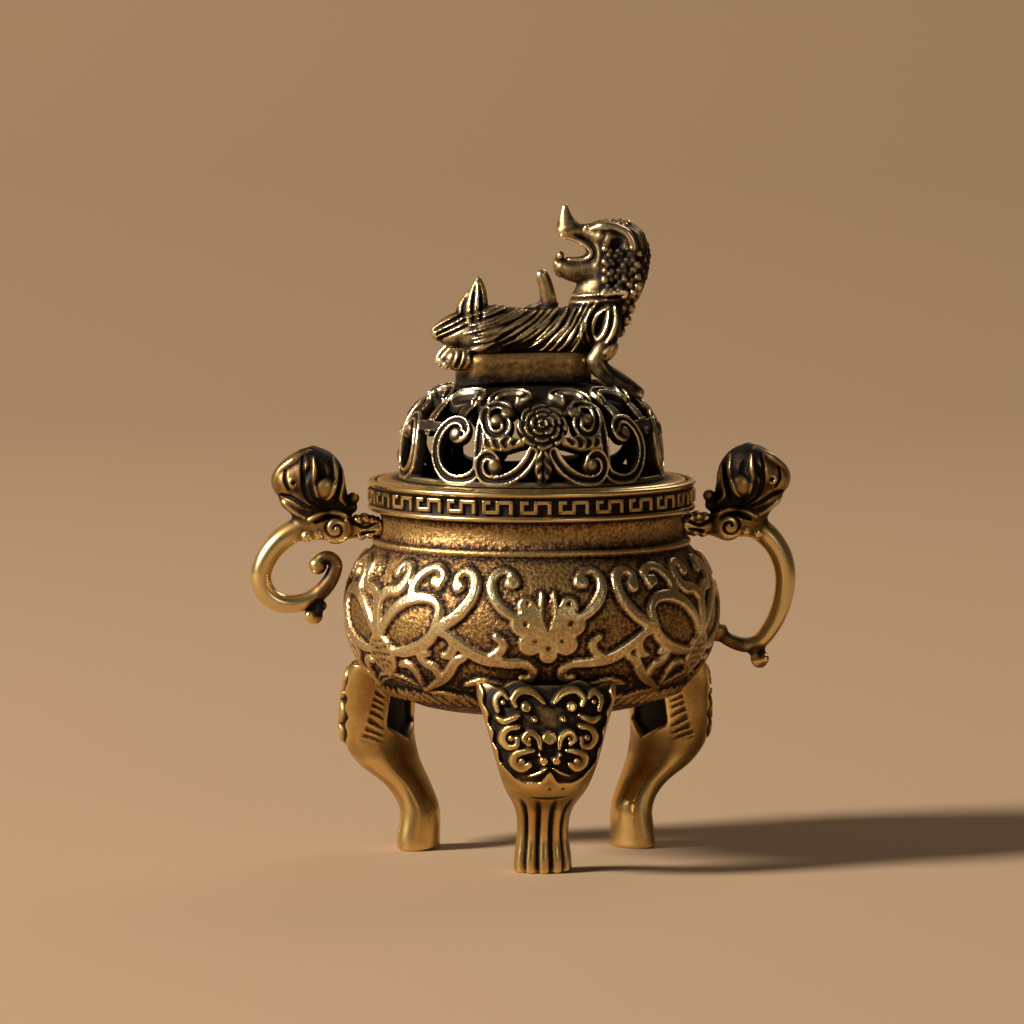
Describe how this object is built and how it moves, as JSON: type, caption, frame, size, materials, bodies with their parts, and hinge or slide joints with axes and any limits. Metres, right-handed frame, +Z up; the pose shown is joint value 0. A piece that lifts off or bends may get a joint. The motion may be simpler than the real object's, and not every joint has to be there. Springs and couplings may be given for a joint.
{
  "type": "incense burner",
  "caption": "Small cast brass tripod censer with relief belly, beast-head handles, mask legs and a pierced dome lid topped by a reclining lion; the lid lifts off.",
  "frame": {"origin": "centre of the footprint box, on the surface that the feet stand on", "axes": "+Z up along the bowl's axis, +X to the right handle, -Y to the front leg"},
  "size_m": [0.0534, 0.039, 0.0641],
  "materials": {
    "relief_brass": "antique, dark in the ground, rubbed bright on the relief",
    "rim_brass": "rubbed bright on the edges, dark in the fret",
    "handle_brass": "antique, rubbed bright on the bends",
    "leg_brass": "rubbed golden on the shanks, dark in the mask",
    "lid_brass": "dark antique, bright on the edges of the scrolls",
    "plinth_brass": "plain, speckled antique",
    "lion_brass": "dark antique, rubbed bright on the head and mane",
    "screw_brass": "plain turned"
  },
  "bodies": {
    "burner": {"bowl": "relief_brass", "rim_band": "rim_brass", "handle_left": "handle_brass", "handle_right": "handle_brass", "leg_front": "leg_brass", "leg_rear_left": "leg_brass", "leg_rear_right": "leg_brass", "leg_screws": "screw_brass", "handle_screws": "screw_brass"},
    "lid": {"lid_ring": "rim_brass", "lid_dome": "lid_brass", "plinth": "plinth_brass", "lion": "lion_brass", "knob_screw": "screw_brass", "knob_washer": "screw_brass"}
  },
  "joints": [
    {"name": "lid_lift", "type": "slide", "parent": "burner", "child": "lid", "axis": [0, 0, 1], "range_m": [0, 0.03]}
  ]
}
